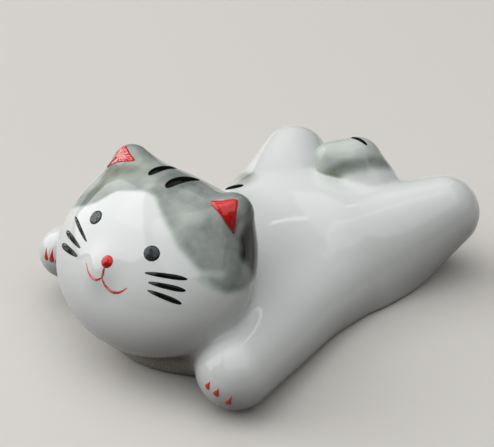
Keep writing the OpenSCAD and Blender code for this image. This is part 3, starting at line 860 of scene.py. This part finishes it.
def glazed_porcelain():
    """White porcelain under a clear glaze, with brushed grey-green washes and a bare sandy foot.
    The washes also hold a painted highlight on the cheeks and painted shade under the tail, and the
    foot's sparkles are painted glints.
    To the eye: soft white, pools of grey green with loose edges, and wide soft reflections."""
    material, tree, shader = new_material("glazed_porcelain")
    place = add_node(tree, "ShaderNodeTexCoord", "Object")
    wash, soot, moss, bare = [
        add_node(tree, "ShaderNodeAttribute", "Fac", attribute_name=name)
        for name in ("wash", "soot", "moss", "bare")
    ]
    pools, streaks, ripples, grit, sparkles = [
        add_node(tree, "ShaderNodeTexNoise", "Fac", {
            "Vector": place, "Scale": 1 / size, "Detail": detail, "Distortion": distortion,
        })
        for size, detail, distortion in (POOLS, STREAKS, RIPPLES, GRIT, SPARKLES)
    ]
    load = wash
    for patches, (swing, least) in ((pools, POOL_LOAD), (streaks, STREAK_LOAD)):
        change = add_node(
            tree, "ShaderNodeMath", "Value", {0: patches, 1: swing, 2: least},
            operation="MULTIPLY_ADD",
        )
        load = add_node(tree, "ShaderNodeMath", "Value", {0: load, 1: change}, operation="MULTIPLY")
    thick, dark, bright = [
        add_node(tree, "ShaderNodeMapRange", "Result", {
            "Value": value, "From Min": low, "From Max": high,
        }, interpolation_type="SMOOTHSTEP")
        for value, (low, high) in (
            (load, THICK_WASH), (grit, DARK_GRIT), (sparkles, BRIGHT_SPARKLE),
        )
    ]
    tones = {name: colour(name) for name in HEX}
    for result, share, under, over in (
        ("tint", thick, "wash_thin", "wash"),
        ("tint", moss, "tint", "olive"),
        ("glazed", load, "white", "tint"),
        ("glazed", soot, "glazed", "soot"),
        ("clay", dark, "bisque", "bisque_grain"),
        ("clay", bright, "clay", "painted_glint"),
        ("skin", bare, "glazed", "clay"),
    ):
        tones[result] = add_node(
            tree, "ShaderNodeMix", "Result", {0: share, "A": tones[under], "B": tones[over]},
            data_type="RGBA",
        )
    set_inputs(tree, shader, {
        "Base Color": tones["skin"],
        "Roughness": add_node(
            tree, "ShaderNodeMath", "Value", {0: bare, 1: BARE_ROUGHER, 2: CLAY_ROUGHNESS},
            operation="MULTIPLY_ADD",
        ),
        "Normal": add_node(tree, "ShaderNodeBump", "Normal", {
            "Height": grit, "Strength": bare, "Distance": GRIT_HIGH,
        }),
        "Specular IOR Level": 0,
        "Coat Weight": add_node(
            tree, "ShaderNodeMath", "Value", {0: 1, 1: bare}, operation="SUBTRACT",
        ),
        "Coat IOR": GLAZE_IOR,
        "Coat Roughness": GLAZE_ROUGHNESS,
        "Coat Normal": add_node(tree, "ShaderNodeBump", "Normal", {
            "Height": ripples, "Strength": RIPPLE_STRENGTH, "Distance": RIPPLE_HIGH,
        }),
    })
    return material


# Streaks that the bristles leave, and how much they thin or thicken the enamel
BRISTLES, BRISTLE_DETAIL = 0.3, 2
BRISTLE_SWING, BRISTLE_LEAST = 0.7, -0.35
# Levels between which enamel covers fully, a streak is dry and a mark's middle begins
FULL_INK, DRY_STREAK, INNER_INK = (0.1, 0.6), (0.46, 0.6), (0.75, 1)
ENAMEL_ROUGHNESS, ENAMEL_GLOSS_ROUGHNESS = 0.45, 0.08


def fired_enamel(name, tint, gloss):
    """Overglaze enamel that has melted into a low gloss bead.
    To the eye: full colour where it lies thick, pale where the brush ran dry, and darker towards
    one side of each mark. The pale middle of the right inner ear is a painted reflection."""
    material, tree, shader = new_material(name)
    brush = add_node(tree, "ShaderNodeAttribute", "Vector", attribute_name="brush")
    ink, darker_side, dry = [
        add_node(tree, "ShaderNodeAttribute", "Fac", attribute_name=name)
        for name in ("ink", "darker_side", "dry")
    ]
    streaks = add_node(tree, "ShaderNodeTexNoise", "Fac", {
        "Vector": brush, "Scale": 1 / BRISTLES, "Detail": BRISTLE_DETAIL,
    })
    change = add_node(
        tree, "ShaderNodeMath", "Value", {0: streaks, 1: BRISTLE_SWING, 2: BRISTLE_LEAST},
        operation="MULTIPLY_ADD",
    )
    streaked = add_node(tree, "ShaderNodeMath", "Value", {0: ink, 1: change}, operation="ADD")
    full, speck, inner = [
        add_node(tree, "ShaderNodeMapRange", "Result", {
            "Value": value, "From Min": low, "From Max": high,
        }, interpolation_type="SMOOTHSTEP")
        for value, (low, high) in ((streaked, FULL_INK), (streaks, DRY_STREAK), (ink, INNER_INK))
    ]
    for share in (speck, inner):
        dry = add_node(tree, "ShaderNodeMath", "Value", {0: dry, 1: share}, operation="MULTIPLY")
    tone = colour(f"{tint}_thin")
    for share, over in ((full, tint), (darker_side, f"{tint}_deep"), (dry, f"{tint}_dry")):
        tone = add_node(
            tree, "ShaderNodeMix", "Result", {0: share, "A": tone, "B": colour(over)},
            data_type="RGBA",
        )
    set_inputs(tree, shader, {
        "Base Color": tone,
        "Roughness": ENAMEL_ROUGHNESS,
        "Specular IOR Level": 0,
        "Coat Weight": gloss,
        "Coat Roughness": ENAMEL_GLOSS_ROUGHNESS,
    })
    return material


FLOOR_SIZE = 10
FLOOR_ROUGHNESS = 0.8


def add_floor():
    """A pale floor that throws little light back up at the figure."""
    bpy.ops.mesh.primitive_plane_add(size=FLOOR_SIZE)
    floor = bpy.context.object
    floor.name = "floor"
    material, tree, shader = new_material("pale_floor")
    # 1 for rays that show the floor itself, mirror it or pass through to it, else 0
    seen = add_node(tree, "ShaderNodeLightPath", "Is Camera Ray")
    for ray in ("Is Glossy Ray", "Is Transmission Ray"):
        kind = add_node(tree, "ShaderNodeLightPath", ray)
        seen = add_node(tree, "ShaderNodeMath", "Value", {0: seen, 1: kind}, operation="MAXIMUM")
    set_inputs(tree, shader, {
        "Base Color": add_node(
            tree, "ShaderNodeMix", "Result",
            {0: seen, "A": colour("floor_bounce"), "B": colour("floor")}, data_type="RGBA",
        ),
        "Roughness": FLOOR_ROUGHNESS,
    })
    floor.data.materials.append(material)


# Softboxes and a thin weak strip that draws the line along the back: turn and rise round the
# object, half the width and the height as angles, and the light that a white surface gets
LAMP_DISTANCE = 1.6
LAMPS = (
    ("window_softbox", -61, 28, 29, 24, 0.73),
    ("side_softbox", -100, 66, 30, 26, 0.32),
    ("top_softbox", 50, 74, 36, 30, 0.62),
    ("back_softbox", 102, 38, 32, 24, 0.08),
    ("strip_light", -161, 44, 1.5, 12, 0.016),
)
# How little light comes from the rest of the room
ROOM_LEVEL = 0.025


def add_lamp(name, turn, rise, wide, high, level):
    way = outwards(turn, rise)
    bpy.ops.object.light_add(type="AREA", location=way * LAMP_DISTANCE)
    lamp = bpy.context.object
    lamp.name = name
    lamp.data.shape = "RECTANGLE"
    lamp.data.size = 2 * LAMP_DISTANCE * math.tan(math.radians(wide))
    lamp.data.size_y = 2 * LAMP_DISTANCE * math.tan(math.radians(high))
    lamp.data.energy = level * (math.pi * LAMP_DISTANCE) ** 2
    lamp.rotation_mode = "QUATERNION"
    lamp.rotation_quaternion = Vector(way).to_track_quat("Z", "Y")


def add_light():
    for lamp in LAMPS:
        add_lamp(*lamp)
    world = bpy.data.worlds.new("studio")
    world.use_nodes = True
    room = world.node_tree.nodes["Background"]
    room.inputs["Color"].default_value = colour("room")
    room.inputs["Strength"].default_value = ROOM_LEVEL
    bpy.context.scene.world = world


bpy.context.scene.view_settings.view_transform = "Standard"
add_camera()
figure = make_figure()
paint_washes(figure)
figure.data.materials.append(glazed_porcelain())
make_enamel()
add_floor()
add_light()
